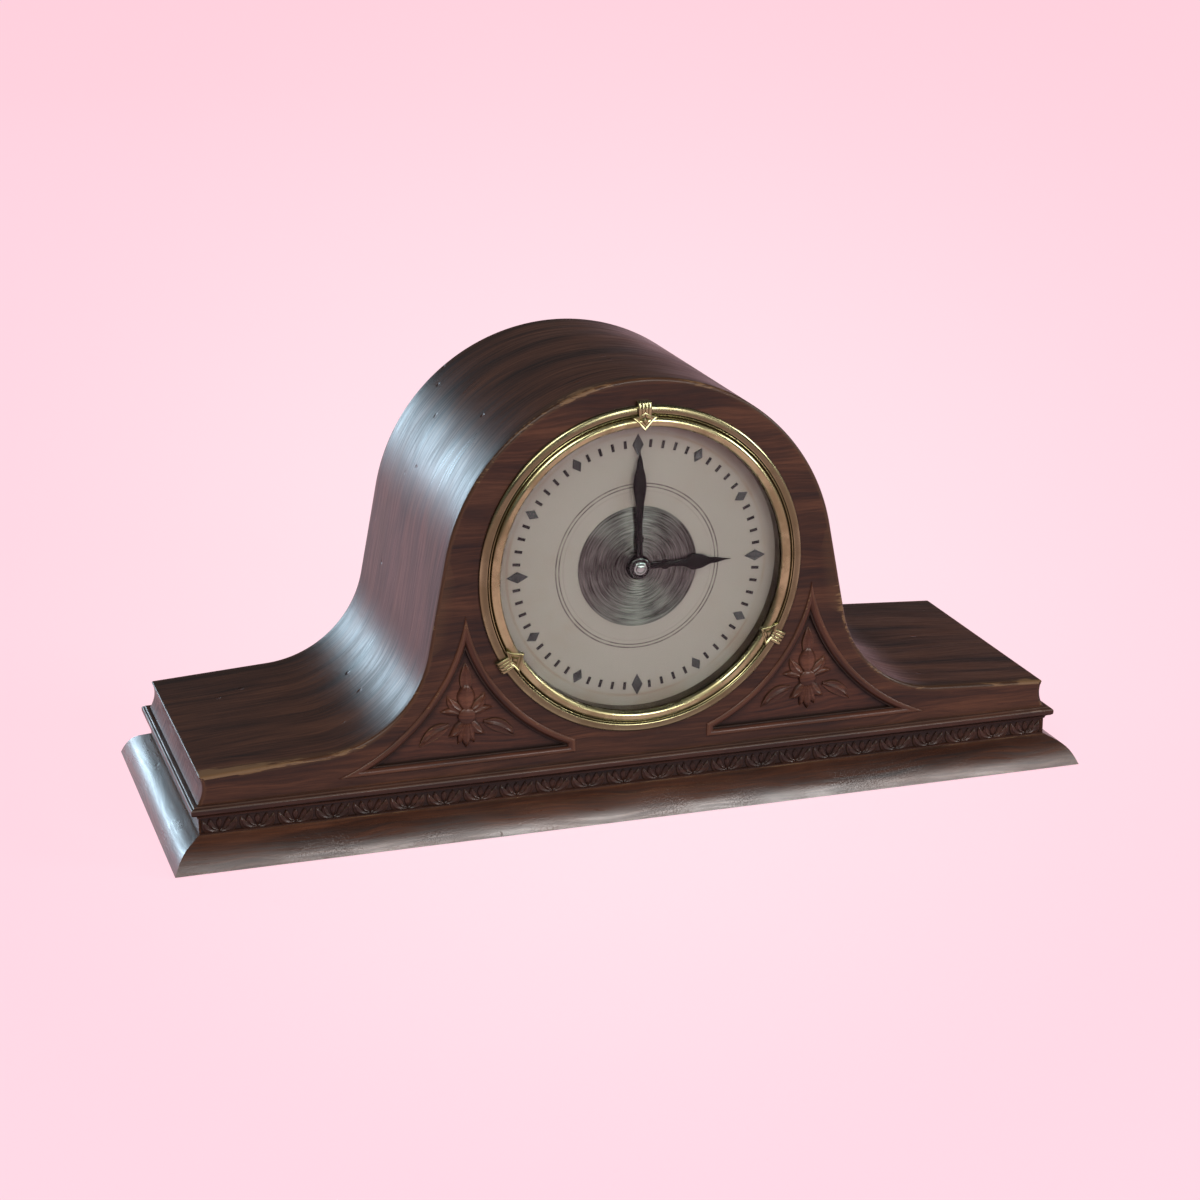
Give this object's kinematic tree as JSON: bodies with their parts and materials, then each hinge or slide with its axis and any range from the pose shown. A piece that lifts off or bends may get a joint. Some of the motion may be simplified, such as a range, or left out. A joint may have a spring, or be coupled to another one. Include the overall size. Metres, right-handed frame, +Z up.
{
  "type": "mantel clock",
  "caption": "Tambour mantel clock with a humped wooden case, carved spandrels and frieze, brass bezel, spade hands and a back-wound lever movement behind a hinged door.",
  "frame": {"origin": "on the table, under the middle of the base", "axes": "+X along the clock to the right of the dial, -Y towards the viewer in front of the dial, +Z up"},
  "size_m": [0.471, 0.172, 0.22],
  "materials": {
    "walnut": "stained and varnished, semi-gloss",
    "bare_wood": "unfinished, inside the case",
    "case_brass": "aged, lacquered",
    "movement_brass": "fine grained",
    "steel": "ground and polished",
    "spring_steel": "blued",
    "hand_steel": "blackened",
    "nut_chrome": "polished",
    "dial_paint": "matt, lightly aged",
    "disc_steel": "spun brushing, lacquered",
    "marker_paint": "dark slate enamel",
    "glass": "clear, flat",
    "felt": "dense felt"
  },
  "bodies": {
    "case": {"felt_pads": "felt", "base_board": "walnut", "base_moulding": "walnut", "frieze_front": "walnut", "frieze_plain": "walnut", "ledge_moulding": "walnut", "glue_blocks": "bare_wood", "front_panel": "walnut", "back_panel": "walnut", "case_band": "walnut", "end_cheeks": "walnut", "spandrel_frames": "walnut", "spandrel_carvings": "walnut", "bezel": "case_brass", "bezel_ornaments": "case_brass", "dial_glass": "glass", "glass_ring": "case_brass", "dial_plate": "dial_paint", "wood_screws": "case_brass", "centre_disc": "disc_steel", "hour_markers": "marker_paint", "dial_feet": "movement_brass", "movement_front_plate": "movement_brass", "movement_back_plate": "movement_brass", "plate_pillars": "movement_brass", "pillar_nuts": "steel", "lever_bridge": "movement_brass", "balance_cock": "movement_brass", "hairspring": "spring_steel", "click_screw": "steel", "click_spring": "spring_steel", "hinge_case_leaves": "case_brass", "hinge_pins": "case_brass", "door_stop": "bare_wood"},
    "hands": {"centre_arbor": "steel", "cannon_pinion": "steel", "minute_hand": "hand_steel", "hand_nut": "nut_chrome", "setting_knob": "movement_brass"},
    "minute_wheel": {"minute_wheel": "movement_brass"},
    "hour_wheel": {"hour_wheel": "movement_brass", "hour_hand": "hand_steel"},
    "centre_wheel": {"centre_wheel": "movement_brass"},
    "barrel": {"going_barrel": "movement_brass", "barrel_cover": "movement_brass", "mainspring": "spring_steel"},
    "third_wheel": {"third_wheel": "movement_brass"},
    "fourth_wheel": {"fourth_wheel": "movement_brass"},
    "escape_wheel": {"escape_wheel": "steel"},
    "lever": {"pallet_lever": "steel"},
    "balance": {"balance_wheel": "movement_brass"},
    "winding": {"barrel_arbor": "steel", "ratchet_wheel": "steel", "winding_key": "movement_brass"},
    "click": {"click": "steel"},
    "door": {"back_door": "walnut", "hinge_door_leaves": "case_brass", "hinge_door_screws": "case_brass", "door_knob": "case_brass"},
    "turn_button": {"turn_button": "case_brass"}
  },
  "joints": [
    {"name": "minute_hand_turn", "type": "hinge", "parent": "case", "child": "hands", "pos_m": [0, -0.0415, 0.1248], "axis": [0, 1, 0], "continuous": true},
    {"name": "minute_wheel_turn", "type": "hinge", "parent": "case", "child": "minute_wheel", "pos_m": [-0.01018, -0.0565, 0.11462], "axis": [0, 1, 0], "continuous": true},
    {"name": "hour_hand_turn", "type": "hinge", "parent": "case", "child": "hour_wheel", "pos_m": [0, -0.0595, 0.1248], "axis": [0, 1, 0], "continuous": true},
    {"name": "fourth_wheel_turn", "type": "hinge", "parent": "case", "child": "fourth_wheel", "pos_m": [-0.00548, -0.0385, 0.1527], "axis": [0, 1, 0], "continuous": true},
    {"name": "third_wheel_turn", "type": "hinge", "parent": "case", "child": "third_wheel", "pos_m": [0.01071, -0.0415, 0.14335], "axis": [0, 1, 0], "continuous": true},
    {"name": "centre_wheel_turn", "type": "hinge", "parent": "case", "child": "centre_wheel", "pos_m": [0, -0.0365, 0.1248], "axis": [0, 1, 0], "continuous": true},
    {"name": "barrel_turn", "type": "hinge", "parent": "case", "child": "barrel", "pos_m": [0, -0.0425, 0.0954], "axis": [0, 1, 0], "continuous": true},
    {"name": "escape_wheel_turn", "type": "hinge", "parent": "case", "child": "escape_wheel", "pos_m": [-0.02176, -0.0265, 0.14677], "axis": [0, 1, 0], "continuous": true},
    {"name": "balance_swing", "type": "hinge", "parent": "case", "child": "balance", "pos_m": [0.00063, -0.0135, 0.15072], "axis": [0, 1, 0], "range_deg": [-135, 135], "stiffness_Nm_per_rad": 0.00005},
    {"name": "lever_swing", "type": "hinge", "parent": "case", "child": "lever", "pos_m": [-0.01267, -0.0205, 0.14838], "axis": [0, 1, 0], "range_deg": [-3, 3]},
    {"name": "winding_turn", "type": "hinge", "parent": "case", "child": "winding", "pos_m": [0, -0.0265, 0.0954], "axis": [0, 1, 0], "continuous": true},
    {"name": "click_lift", "type": "hinge", "parent": "case", "child": "click", "pos_m": [0.01149, -0.022, 0.10504], "axis": [0, 1, 0], "range_deg": [0, 8], "stiffness_Nm_per_rad": 0.0001},
    {"name": "door_hinge", "type": "hinge", "parent": "case", "child": "door", "pos_m": [-0.05765, 0.0732, 0.09], "axis": [0, 0, 1], "range_deg": [0, 165]},
    {"name": "turn_button_turn", "type": "hinge", "parent": "case", "child": "turn_button", "pos_m": [0.0665, 0.0725, 0.112], "axis": [0, 1, 0], "continuous": true}
  ],
  "couplings": [
    {"joint": "minute_wheel_turn", "follows": "minute_hand_turn", "ratio": -0.33333},
    {"joint": "hour_hand_turn", "follows": "minute_hand_turn", "ratio": 0.083333},
    {"joint": "third_wheel_turn", "follows": "fourth_wheel_turn", "ratio": -0.13333},
    {"joint": "centre_wheel_turn", "follows": "fourth_wheel_turn", "ratio": 0.016667},
    {"joint": "barrel_turn", "follows": "fourth_wheel_turn", "ratio": -0.0027778},
    {"joint": "escape_wheel_turn", "follows": "fourth_wheel_turn", "ratio": -10},
    {"joint": "lever_swing", "follows": "balance_swing", "ratio": -0.022222}
  ]
}
